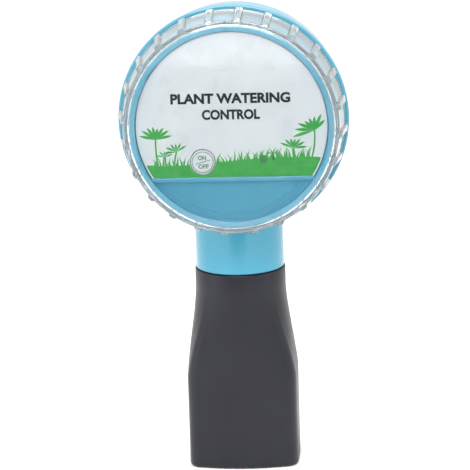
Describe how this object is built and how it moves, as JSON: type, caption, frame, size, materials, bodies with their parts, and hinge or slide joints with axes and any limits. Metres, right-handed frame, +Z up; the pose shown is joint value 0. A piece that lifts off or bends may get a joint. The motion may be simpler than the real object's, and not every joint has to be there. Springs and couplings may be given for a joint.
{
  "type": "irrigation controller",
  "caption": "Battery plant-watering controller: round light-blue head with a ribbed clear screw cover, printed face, button and lamp, on a neck plugged into a black tapering base.",
  "frame": {"origin": "middle of the foot pad's underside, on the neck's axis", "axes": "+Z up along the neck, the face and its cover look along -Y, the water ports point along +Y, +X to the right seen from the front"},
  "size_m": [0.099, 0.0727, 0.2071],
  "materials": {
    "clear_polycarbonate": "clear polished polycarbonate",
    "blue_abs": "glossy moulded ABS",
    "black_abs": "satin moulded ABS",
    "black_nylon": "moulded nylon",
    "white_nylon": "moulded nylon",
    "black_rubber": "moulded rubber",
    "clear_silicone": "translucent silicone",
    "cell_wrap": "shrink-wrapped cell",
    "nickel_steel": "nickel-plated spring steel",
    "zinc_steel": "zinc-plated steel",
    "core_steel": "stacked laminations",
    "gold_brass": "gold-flashed brass",
    "copper_wire": "enamelled copper winding",
    "ferrite": "sintered ferrite",
    "printed_panel": "back-printed acrylic panel",
    "pale_button": "moulded ABS button",
    "green_lens": "tinted light guide",
    "green_board": "solder-masked glass epoxy",
    "black_epoxy": "moulded epoxy package",
    "capacitor_sleeve": "shrink sleeve on an aluminium can",
    "tin_plate": "stamped tin-plated shield",
    "lead_insulation": "PVC insulation"
  },
  "bodies": {
    "base": {"base_shell": "black_abs", "foot_pad": "black_rubber", "battery_cage": "black_nylon", "battery_cells": "cell_wrap", "cell_springs": "nickel_steel", "cell_contacts": "nickel_steel", "cage_rings": "gold_brass"},
    "head": {"front_housing": "blue_abs", "rear_housing": "blue_abs", "neck_plug": "black_nylon", "neck_o_ring": "black_rubber", "housing_seal": "black_rubber", "port_seals": "black_rubber", "motor_sleeve": "black_rubber", "pump_diaphragm": "black_rubber", "contact_pins": "gold_brass", "housing_screws": "zinc_steel", "board_screws": "zinc_steel", "clamp_screws": "zinc_steel", "pump_screws": "zinc_steel", "button_spring": "nickel_steel", "face_panel": "printed_panel", "led_lens": "green_lens", "control_board": "green_board", "button_switch": "black_nylon", "indicator_led": "green_lens", "control_chip": "black_epoxy", "driver_chip": "black_epoxy", "power_capacitor": "capacitor_sleeve", "wireless_module": "green_board", "module_shield": "tin_plate", "lead_sockets": "white_nylon", "battery_leads": "lead_insulation", "motor_leads": "lead_insulation", "motor_can": "zinc_steel", "motor_end_cap": "white_nylon", "motor_magnets": "ferrite", "pump_clamp": "zinc_steel", "pump_case": "white_nylon", "wobble_plate": "white_nylon", "valve_plate": "white_nylon", "pump_cover": "white_nylon", "inlet_hose": "clear_silicone", "outlet_hose": "clear_silicone", "hose_clips": "nickel_steel", "inlet_port": "black_nylon", "outlet_port": "black_nylon", "port_nuts": "black_nylon"},
    "cover_seal": {"cover_gasket": "clear_silicone"},
    "cover": {"clear_cover": "clear_polycarbonate"},
    "button": {"power_button": "pale_button"},
    "rotor": {"motor_rotor": "core_steel", "rotor_winding": "copper_wire", "eccentric": "white_nylon"}
  },
  "joints": [
    {"name": "head_lift", "type": "slide", "parent": "base", "child": "head", "axis": [0, 0, 1], "range_m": [0, 0.03]},
    {"name": "cover_lift", "type": "slide", "parent": "head", "child": "cover_seal", "axis": [0, -1, 0], "range_m": [0, 0.02401]},
    {"name": "cover_turn", "type": "hinge", "parent": "cover_seal", "child": "cover", "pos_m": [0, -0.03, 0.1576], "axis": [0, -1, 0], "range_deg": [0, 540]},
    {"name": "button_press", "type": "slide", "parent": "head", "child": "button", "axis": [0, 1, 0], "range_m": [0, 0.0008], "stiffness_N_per_m": 400},
    {"name": "motor_spin", "type": "hinge", "parent": "head", "child": "rotor", "pos_m": [0, 0.003, 0.133], "axis": [0, 0, 1], "continuous": true}
  ],
  "couplings": [
    {"joint": "cover_lift", "follows": "cover_turn", "m_per_rad": 0.0025465}
  ]
}
